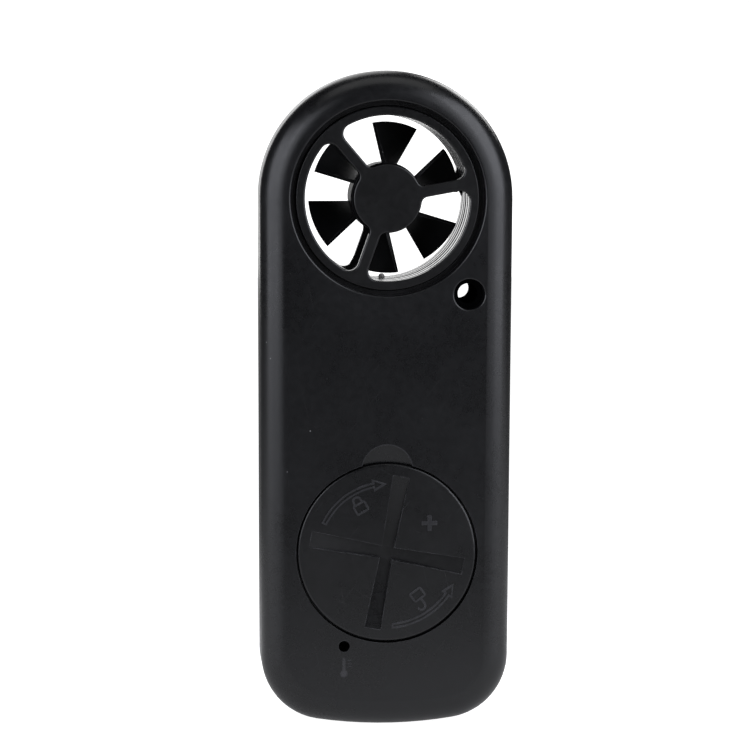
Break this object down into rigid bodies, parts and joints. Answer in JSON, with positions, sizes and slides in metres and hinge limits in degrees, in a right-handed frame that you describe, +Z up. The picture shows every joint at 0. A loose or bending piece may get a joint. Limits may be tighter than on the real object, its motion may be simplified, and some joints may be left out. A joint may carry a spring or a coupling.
{
  "type": "handheld weather meter",
  "caption": "Pocket wind and temperature meter: slim round-headed case, axial fan in a guarded through duct, display window, push buttons, bayonet battery door and lanyard hole.",
  "frame": {"origin": "under the middle of the base, midway between the back face and the button tops", "axes": "+Z up the case to the round head, +Y from the back face towards the display, +X to the right when the back is seen"},
  "size_m": [0.04, 0.018, 0.104],
  "materials": {
    "case_plastic": "fine satin texture",
    "guard_plastic": "smooth satin",
    "rotor_plastic": "smooth satin",
    "button_plastic": "satin",
    "window_clear": "polished",
    "tape_black": "foam tape",
    "steel": "bright",
    "screw_steel": "blackened",
    "magnet_ferrite": "sintered",
    "bearing_brass": "turned",
    "seal_rubber": "soft",
    "cell_steel": "nickel plated",
    "board_laminate": "solder mask",
    "chip_epoxy": "moulded",
    "ceramic": "fired",
    "sensor_glass": "glass bead",
    "holder_white": "moulded",
    "lcd_glass": "polariser",
    "strip_rubber": "soft",
    "backlight_plastic": "light guide",
    "switch_plastic": "moulded"
  },
  "bodies": {
    "casing": {"rear_casing": "case_plastic", "front_casing": "case_plastic", "bay_screws": "screw_steel", "window_screws": "screw_steel", "board_screws": "screw_steel", "rear_guard": "guard_plastic", "front_guard": "guard_plastic", "rear_bearing": "bearing_brass", "front_bearing": "bearing_brass", "coin_cell": "cell_steel", "cell_contact_negative": "steel", "cell_contact_positive": "steel", "circuit_board": "board_laminate", "main_chip": "chip_epoxy", "clock_crystal": "steel", "board_capacitors": "ceramic", "speed_sensor": "chip_epoxy", "temperature_sensor": "sensor_glass", "display_window": "window_clear", "window_tape": "tape_black", "lcd_holder": "holder_white", "lcd_connectors": "strip_rubber", "lcd_backlight": "backlight_plastic", "lcd_panel": "lcd_glass", "lcd_gasket": "strip_rubber", "mode_switch_body": "switch_plastic", "set_switch_body": "switch_plastic", "unit_switch_body": "switch_plastic"},
    "fan": {"rotor": "rotor_plastic", "rotor_shaft": "steel", "rotor_magnet": "magnet_ferrite"},
    "battery_cap": {"battery_door": "case_plastic", "battery_door_seal": "seal_rubber"},
    "mode_key": {"mode_button": "button_plastic"},
    "set_key": {"set_button": "button_plastic"},
    "mode_plunger": {"mode_switch_plunger": "switch_plastic"},
    "set_plunger": {"set_switch_plunger": "switch_plastic"},
    "unit_plunger": {"unit_switch_plunger": "switch_plastic"}
  },
  "joints": [
    {"name": "fan_spin", "type": "hinge", "parent": "casing", "child": "fan", "pos_m": [0, -0.0005, 0.084], "axis": [0, -1, 0], "continuous": true},
    {"name": "battery_door_turn", "type": "hinge", "parent": "casing", "child": "battery_cap", "pos_m": [0, -0.009, 0.0281], "axis": [0, -1, 0], "range_deg": [0, 40]},
    {"name": "mode_button_press", "type": "slide", "parent": "casing", "child": "mode_key", "axis": [0, -1, 0], "range_m": [0, 0.0003], "stiffness_N_per_m": 1500, "springref_m": -0.0002},
    {"name": "set_button_press", "type": "slide", "parent": "casing", "child": "set_key", "axis": [0, -1, 0], "range_m": [0, 0.0003], "stiffness_N_per_m": 1500, "springref_m": -0.0002},
    {"name": "mode_plunger_travel", "type": "slide", "parent": "casing", "child": "mode_plunger", "axis": [0, -1, 0], "range_m": [0, 0.0003]},
    {"name": "set_plunger_travel", "type": "slide", "parent": "casing", "child": "set_plunger", "axis": [0, -1, 0], "range_m": [0, 0.0003]},
    {"name": "unit_switch_press", "type": "slide", "parent": "casing", "child": "unit_plunger", "axis": [0, 1, 0], "range_m": [0, 0.00025], "stiffness_N_per_m": 1000, "springref_m": -0.0002}
  ],
  "couplings": [
    {"joint": "mode_plunger_travel", "follows": "mode_button_press", "ratio": 1},
    {"joint": "set_plunger_travel", "follows": "set_button_press", "ratio": 1}
  ]
}
